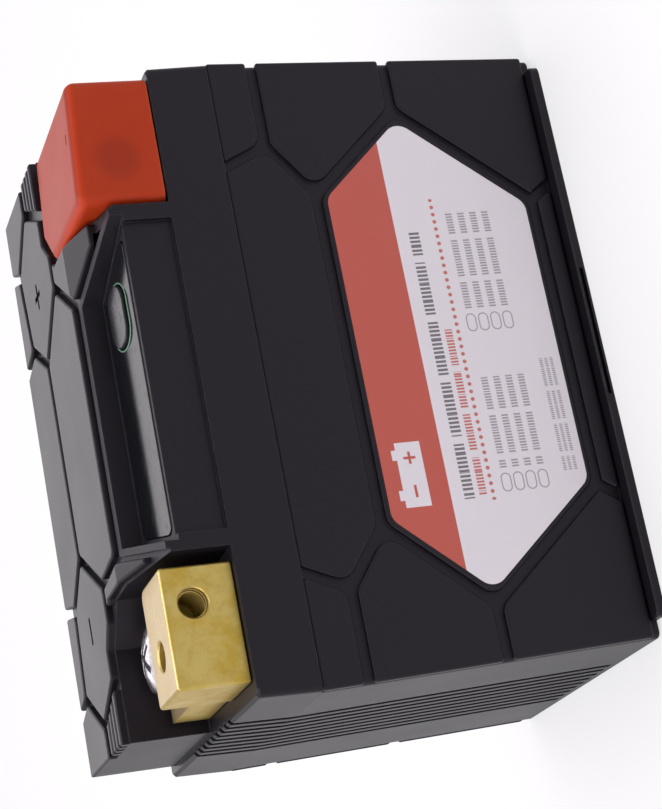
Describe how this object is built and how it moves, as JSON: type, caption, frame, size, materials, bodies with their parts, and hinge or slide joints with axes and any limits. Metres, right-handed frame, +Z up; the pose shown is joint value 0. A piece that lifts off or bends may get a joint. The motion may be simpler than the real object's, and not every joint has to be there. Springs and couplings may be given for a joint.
{
  "type": "motorcycle battery",
  "caption": "Sealed black lithium motorcycle battery with brass terminal blocks, red terminal cap, honeycomb relief and a charge indicator with test button.",
  "frame": {"origin": "middle of the underside of the case", "axes": "+Z up, +X towards the positive terminal, -Y out of the labelled front"},
  "size_m": [0.114, 0.07, 0.0887],
  "materials": {
    "black_plastic": "fine-grained moulded black plastic",
    "label_film": "satin printed film, pale with a red band",
    "window_gloss": "deep glossy black",
    "button_gloss": "glossy black",
    "switch_plastic": "matt black",
    "brass": "machined brass, slightly mottled",
    "plated_steel": "bright zinc plating",
    "soft_red": "soft translucent orange-red plastic",
    "board_green": "solder-masked board",
    "light_white": "diffuse white",
    "clear_rod": "clear polished",
    "pouch_foil": "satin laminated foil",
    "nickel": "nickel strip",
    "copper": "bare copper strip",
    "film_sheet": "thin insulating film",
    "tape": "smooth polyester tape",
    "foam": "closed-cell foam",
    "seal_rubber": "soft sealing bead",
    "chip_black": "moulded resin",
    "resistor_dark": "ceramic with dark glaze",
    "can_metal": "drawn metal can"
  },
  "bodies": {
    "battery": {"case": "black_plastic", "lid": "black_plastic", "lid_seal": "seal_rubber", "front_label": "label_film", "indicator_window": "window_gloss", "test_switch": "plated_steel", "negative_terminal": "brass", "positive_terminal": "brass", "negative_screw": "plated_steel", "positive_screw": "plated_steel", "negative_insert": "brass", "positive_insert": "brass", "indicator_board": "board_green", "board_screws": "plated_steel", "charge_lights": "light_white", "light_guides": "clear_rod", "cell_sheets": "film_sheet", "cell_tabs": "nickel", "series_links": "nickel", "negative_lead": "copper", "positive_lead": "copper", "stack_wrap": "tape", "foot_pad": "foam", "front_packing": "foam", "back_packing": "foam", "balancer_board": "board_green", "balance_resistors": "resistor_dark", "balance_chips": "chip_black", "capacitors": "can_metal", "header_block": "chip_black", "header_pins": "nickel", "cell_1": "pouch_foil", "cell_2": "pouch_foil", "cell_3": "pouch_foil", "cell_4": "pouch_foil"},
    "test_button": {"test_button": "button_gloss", "switch_plunger": "switch_plastic"},
    "positive_cap": {"positive_cap": "soft_red"}
  },
  "joints": [
    {"name": "button_press", "type": "slide", "parent": "battery", "child": "test_button", "axis": [0, 0, -1], "range_m": [0, 0.0005], "stiffness_N_per_m": 800, "springref_m": -0.0005},
    {"name": "cap_lift", "type": "slide", "parent": "battery", "child": "positive_cap", "axis": [0, 0, 1], "range_m": [0, 0.03]}
  ]
}
